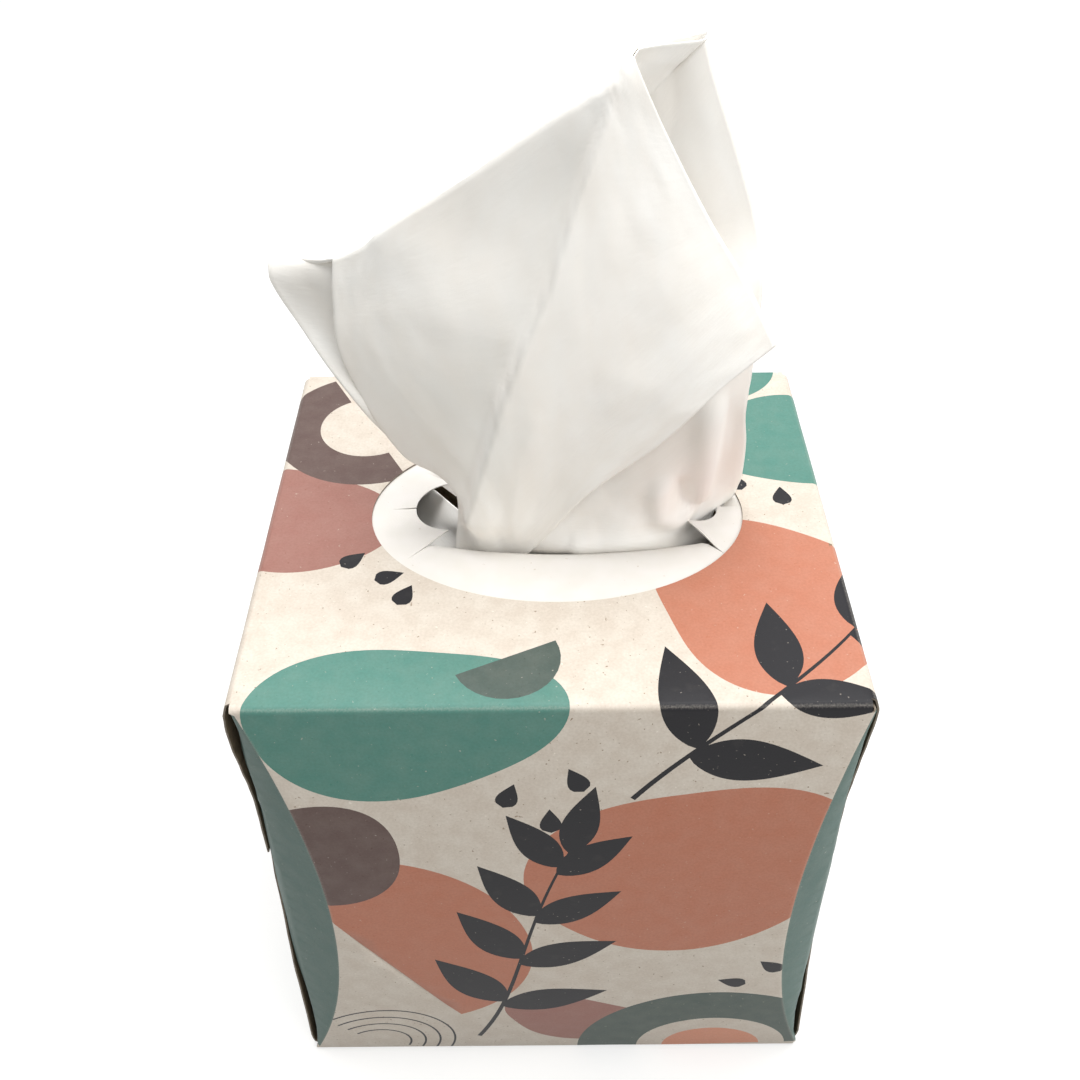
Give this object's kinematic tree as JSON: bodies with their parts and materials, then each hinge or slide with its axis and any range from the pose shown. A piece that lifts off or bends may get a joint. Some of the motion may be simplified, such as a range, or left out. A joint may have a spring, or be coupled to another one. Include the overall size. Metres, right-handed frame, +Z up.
{
  "type": "tissue box",
  "caption": "Cube carton of paper tissues with curved corner creases, an oval mouth over a slotted paper sheet, and one tissue pulled halfway out.",
  "frame": {"origin": "centre of the footprint, on the surface that the box stands on", "axes": "+Z up, -Y towards the front panel, +X to the right as seen from the front"},
  "size_m": [0.115, 0.116, 0.218],
  "materials": {
    "printed_board": "matte recycled board with a flat print in terracotta, brown, teal and charcoal",
    "white_paper": "smooth white paper",
    "tissue": "soft creped tissue, warm white"
  },
  "bodies": {
    "root": {"carton": "printed_board", "slot_sheet": "white_paper", "tissue_pile": "tissue", "pulled_tissue": "tissue"}
  },
  "joints": []
}
